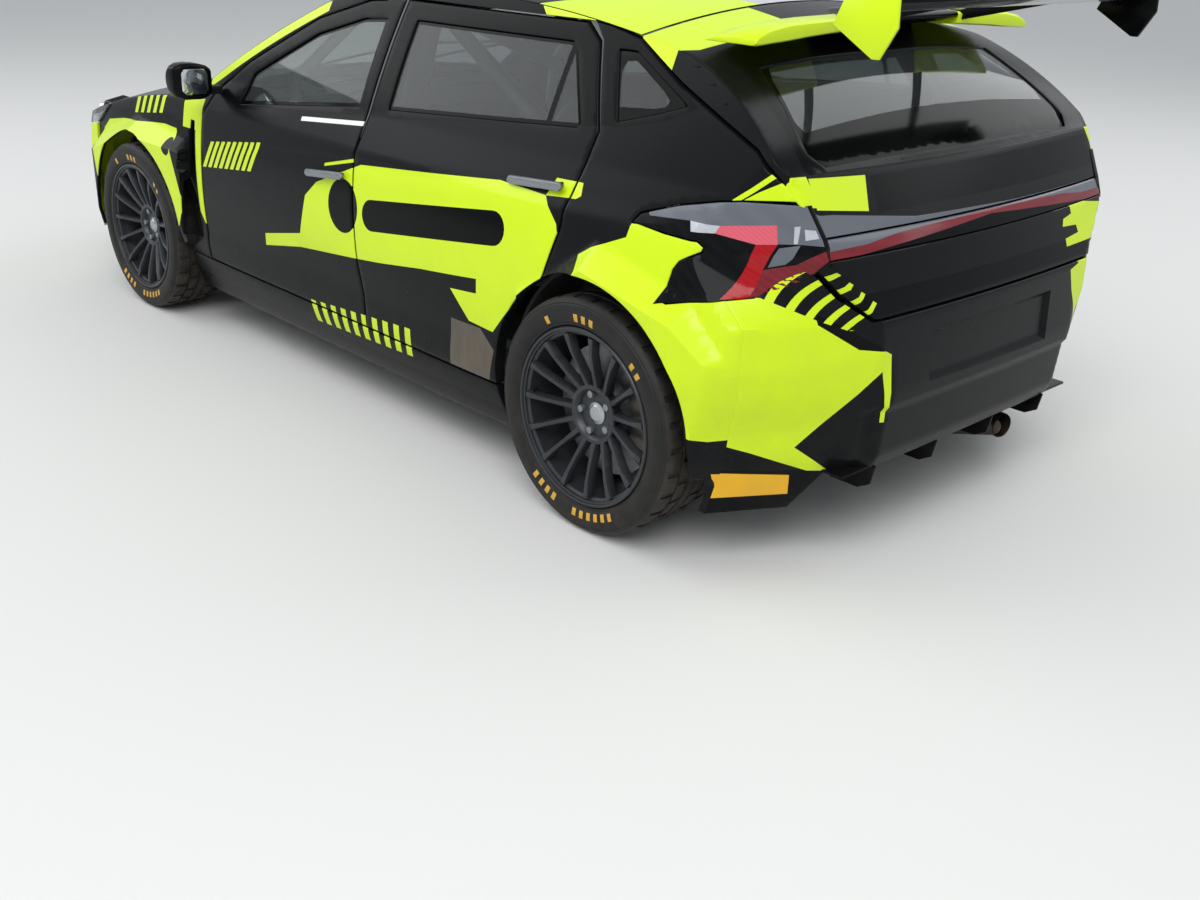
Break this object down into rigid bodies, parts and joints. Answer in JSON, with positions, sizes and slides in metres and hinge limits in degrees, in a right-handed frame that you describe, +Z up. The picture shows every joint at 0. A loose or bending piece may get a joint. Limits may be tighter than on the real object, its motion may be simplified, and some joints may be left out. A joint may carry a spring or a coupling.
{
  "type": "rally hatchback car",
  "caption": "Five-door rally hatchback with flared arches, rear wing, caged cabin and steerable front wheels.",
  "frame": {"origin": "middle of the car's footprint on the ground", "axes": "+X toward the nose, +Y to the left side, +Z up"},
  "size_m": [4.0673, 2, 1.3979],
  "materials": {
    "anthracite_rim": "satin",
    "black_steel": "satin",
    "black_trim": "matte",
    "brake_steel": "machined",
    "cage_grey": "satin",
    "carbon_black": "gloss",
    "clear_glass": "clear",
    "graphite_paint": "satin",
    "lamp_lens": "clear gloss",
    "red_lens": "gloss",
    "seat_cloth": "woven",
    "tinted_glass": "tinted",
    "tyre_rubber": "matte"
  },
  "bodies": {
    "car": {"body_shell": "graphite_paint", "front_wings": "graphite_paint", "rear_quarters": "graphite_paint", "side_skirts": "black_trim", "front_bumper": "graphite_paint", "rear_bumper": "graphite_paint", "grille": "black_trim", "headlamps": "lamp_lens", "tail_lamps": "red_lens", "windscreen": "clear_glass", "quarter_glass": "tinted_glass", "suspension_front": "black_steel", "suspension_rear": "black_steel", "upper_arms": "black_steel", "engine_block": "black_steel", "drive_shafts": "black_steel", "propshaft": "black_steel", "sump_guard": "black_steel", "exhaust": "black_steel", "roll_cage": "cage_grey", "seats": "seat_cloth", "dashboard": "black_trim", "steering_wheel": "black_trim"},
    "bonnet_lid": {"bonnet": "graphite_paint"},
    "tailgate_lid": {"tailgate": "graphite_paint", "tailgate_glass": "tinted_glass", "light_bar": "red_lens", "rear_wing": "carbon_black"},
    "front_door_left": {"door_front_left": "graphite_paint", "glass_front_left": "clear_glass", "mirror_left": "carbon_black"},
    "rear_door_left": {"door_rear_left": "graphite_paint", "glass_rear_left": "tinted_glass"},
    "steer_left": {"knuckle_left": "black_steel"},
    "wheel_front_left": {"rim_front_left": "anthracite_rim", "tyre_front_left": "tyre_rubber", "disc_front_left": "brake_steel"},
    "wheel_rear_left": {"rim_rear_left": "anthracite_rim", "tyre_rear_left": "tyre_rubber", "disc_rear_left": "brake_steel"},
    "front_door_right": {"door_front_right": "graphite_paint", "glass_front_right": "clear_glass", "mirror_right": "carbon_black"},
    "rear_door_right": {"door_rear_right": "graphite_paint", "glass_rear_right": "tinted_glass"},
    "steer_right": {"knuckle_right": "black_steel"},
    "wheel_front_right": {"rim_front_right": "anthracite_rim", "tyre_front_right": "tyre_rubber", "disc_front_right": "brake_steel"},
    "wheel_rear_right": {"rim_rear_right": "anthracite_rim", "tyre_rear_right": "tyre_rubber", "disc_rear_right": "brake_steel"}
  },
  "joints": [
    {"name": "steer_left", "type": "hinge", "parent": "car", "child": "steer_left", "pos_m": [1.187, 0.735, 0.322], "axis": [0, 0, 1], "range_deg": [-35, 35]},
    {"name": "roll_front_left", "type": "hinge", "parent": "steer_left", "child": "wheel_front_left", "pos_m": [1.187, 0.782, 0.322], "axis": [0, 1, 0], "continuous": true},
    {"name": "roll_rear_left", "type": "hinge", "parent": "car", "child": "wheel_rear_left", "pos_m": [-1.393, 0.782, 0.322], "axis": [0, 1, 0], "continuous": true},
    {"name": "open_front_door_left", "type": "hinge", "parent": "car", "child": "front_door_left", "pos_m": [0.604, 0.832, 0.56], "axis": [0, 0, -1], "range_deg": [0, 65]},
    {"name": "open_rear_door_left", "type": "hinge", "parent": "car", "child": "rear_door_left", "pos_m": [-0.385, 0.846, 0.56], "axis": [0, 0, -1], "range_deg": [0, 65]},
    {"name": "steer_right", "type": "hinge", "parent": "car", "child": "steer_right", "pos_m": [1.187, -0.735, 0.322], "axis": [0, 0, 1], "range_deg": [-35, 35]},
    {"name": "roll_front_right", "type": "hinge", "parent": "steer_right", "child": "wheel_front_right", "pos_m": [1.187, -0.782, 0.322], "axis": [0, 1, 0], "continuous": true},
    {"name": "roll_rear_right", "type": "hinge", "parent": "car", "child": "wheel_rear_right", "pos_m": [-1.393, -0.782, 0.322], "axis": [0, 1, 0], "continuous": true},
    {"name": "open_front_door_right", "type": "hinge", "parent": "car", "child": "front_door_right", "pos_m": [0.604, -0.832, 0.56], "axis": [0, 0, 1], "range_deg": [0, 65]},
    {"name": "open_rear_door_right", "type": "hinge", "parent": "car", "child": "rear_door_right", "pos_m": [-0.385, -0.846, 0.56], "axis": [0, 0, 1], "range_deg": [0, 65]},
    {"name": "open_bonnet", "type": "hinge", "parent": "car", "child": "bonnet_lid", "pos_m": [0.952, 0, 0.893], "axis": [0, -1, 0], "range_deg": [0, 55]},
    {"name": "open_tailgate", "type": "hinge", "parent": "car", "child": "tailgate_lid", "pos_m": [-1.338, 0, 1.296], "axis": [0, 1, 0], "range_deg": [0, 75]}
  ],
  "couplings": [
    {"joint": "steer_right", "follows": "steer_left", "ratio": 1}
  ]
}
